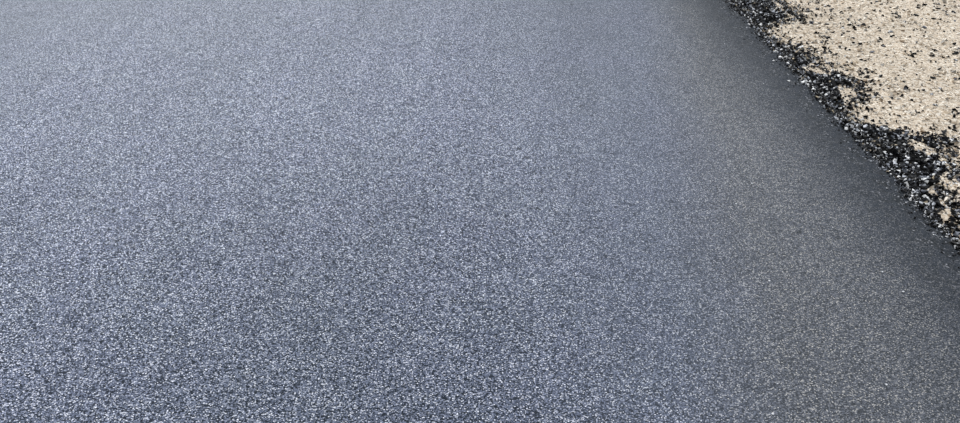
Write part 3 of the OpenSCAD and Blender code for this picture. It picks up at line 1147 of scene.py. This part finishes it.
# how far the crumbs keep off the cut ends and reach under the rim, and where they end
CRUMB_INSET, CRUMB_OVERLAP, CRUMB_END = 0.02, 0.01, 3.90
# the share of the crumbs that lie against another one, and how far from it
CROWD, CROWD_ACROSS, CROWD_ALONG = 0.55, 0.014, 0.009
CRUMB_LIMITS = (0.005, 0.036)
# how high the middles of crumbs and packed stones lie, in shares of their size
CRUMB_LIFT, STONE_LIFT = 0.10, 0.12
# the size of a packed stone's new shape over its box's, and its lean
PACKED_SCALE, PACKED_TILT = 1.06, 0.25


def crumbs(count, usual, varied, power, seed, rng):
    """Places and sizes of one kind of crumbs, thrown in clumps over a margin."""
    y = rng.uniform(-END_Y + CRUMB_INSET, END_Y - CRUMB_INSET, count)
    out = rng.uniform(0, 1, count) ** power
    x = reach(y) - CRUMB_OVERLAP + (CRUMB_END - reach(y)) * out
    crowd = np.flatnonzero(rng.uniform(0, 1, count) < CROWD)
    other = rng.integers(0, count, len(crowd))
    x[crowd] = x[other] + rng.normal(0, CROWD_ACROSS, len(crowd))
    y[crowd] = y[other] + rng.normal(0, CROWD_ALONG, len(crowd))
    clump = noise(x, y, 0.16, seed) + 0.6 * noise(x, y, 0.05, seed + 1)
    keep = clump > rng.uniform(-1.3, 0.9, count)
    x, y = x[keep], y[keep]
    size = np.clip(rng.lognormal(math.log(usual), varied, len(x)), *CRUMB_LIMITS)
    fall = np.maximum(x - MARGIN_END, 0) / STONE_BATTER
    return x, y, margin_top(x, y) - fall + CRUMB_LIFT * size, size


for side, sign, seed in (("left", -1, 500), ("right", 1, 400)):
    for kind, materials, odds, count, usual, varied, power in LOOSE_KINDS:
        seed += 10
        rng = np.random.default_rng(seed)
        x, y, z, size = crumbs(count, usual, varied, power, seed, rng)
        picks = rng.choice(len(materials), len(x), p=odds)
        old = packed_stones(f"{kind}_{side}")
        ox, oy, wide = np.abs(old[:, 0]), old[:, 1], old[:, 3]
        places = np.stack([sign * x, y, z], 1)
        packed = np.stack([sign * ox, oy, margin_top(ox, oy) + STONE_LIFT * wide], 1)
        for r, (y0, y1) in enumerate(thirds):
            on, had = (y >= y0) & (y < y1), (oy >= y0) & (oy < y1)
            verts, patches = rock_patches(places[on], size[on], picks[on], SHAPES, seed + r)
            big = rng.integers(0, len(materials) - 1, had.sum())
            extra, more = rock_patches(
                packed[had], wide[had] * PACKED_SCALE, big, BIG_SHAPES, seed + r + 5,
                len(verts), PACKED_TILT,
            )
            verts, node = np.concatenate([verts, extra]), f"{kind}_{side}"
            make(f"{node}_{r + 1}", verts, patches + more, materials, node)

# Camera, light and floor

# the eye's place, with its height over the mat, and its direction in degrees
EYE_X, EYE_Y, EYE_HEIGHT = 0.814, -3.0, 1.29
PITCH, YAW = 30.95, 0.8326
LENS, SENSOR, FLOOR_HALF = 30.98, 36.0, 60
SKY_LIGHT, BACKDROP = 0.34, 0.88


def heading(azimuth, elevation):
    """The direction of two angles in degrees, from Y towards X and up."""
    a, e = math.radians(azimuth), math.radians(elevation)
    return Vector((math.sin(a) * math.cos(e), math.cos(a) * math.cos(e), math.sin(e)))


eye = Vector((EYE_X, EYE_Y, crown("surface_course") - FALL * EYE_X + EYE_HEIGHT))
forward, yaw = heading(YAW, -PITCH), math.radians(YAW)
right = Vector((math.cos(yaw), -math.sin(yaw), 0))
up = right.cross(forward)
camera = added("camera", bpy.data.cameras.new("camera"))
camera.data.sensor_width = SENSOR
camera.data.lens = LENS
camera.matrix_world = Matrix.Translation(eye) @ Matrix((right, up, -forward)).transposed().to_4x4()
scene.camera = camera

floor_mesh = bpy.data.meshes.new("floor")
corners = [(FLOOR_HALF * a, FLOOR_HALF * b, 0) for a, b in ((-1, -1), (1, -1), (1, 1), (-1, 1))]
floor_mesh.from_pydata(corners, [], [(0, 1, 2, 3)])
floor_mesh.materials.append(plain("floor", (226, 226, 224), 0.9, 0.3))
floor = added("floor", floor_mesh)
floor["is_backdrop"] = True


def studio_light(name, azimuth, elevation, wide, level):
    """A soft light from far off, which lights level ground to the given level."""
    light = added(name, bpy.data.lights.new(name, "SUN"))
    light.data.angle = math.radians(wide)
    light.data.energy = level * math.pi / math.sin(math.radians(elevation))
    turn = heading(azimuth, elevation).to_track_quat("Z", "Y")
    light.matrix_world = turn.to_matrix().to_4x4()


studio_light("key", azimuth=-19, elevation=34, wide=12, level=0.68)
studio_light("fill", azimuth=150, elevation=55, wide=60, level=0.08)

# the world lights the section softly, and is a pale backdrop where it is seen or mirrored
world = bpy.data.worlds.new("studio")
world.use_nodes = True
nodes, links = world.node_tree.nodes, world.node_tree.links
background = nodes["Background"]
background.inputs["Color"].default_value = (0.95, 0.98, 1.0, 1)
rays = nodes.new("ShaderNodeLightPath").outputs
level = rays["Is Camera Ray"]
for ray in ("Is Glossy Ray", "Is Transmission Ray"):
    either = nodes.new("ShaderNodeMath")
    either.operation = "MAXIMUM"
    links.new(level, either.inputs[0])
    links.new(rays[ray], either.inputs[1])
    level = either.outputs[0]
strength = nodes.new("ShaderNodeMapRange")
strength.inputs["To Min"].default_value = SKY_LIGHT
strength.inputs["To Max"].default_value = BACKDROP
links.new(level, strength.inputs["Value"])
links.new(strength.outputs[0], background.inputs["Strength"])
scene.world = world
scene.view_settings.view_transform = "Standard"

size = {"cad": cad_box, "visual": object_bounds()}
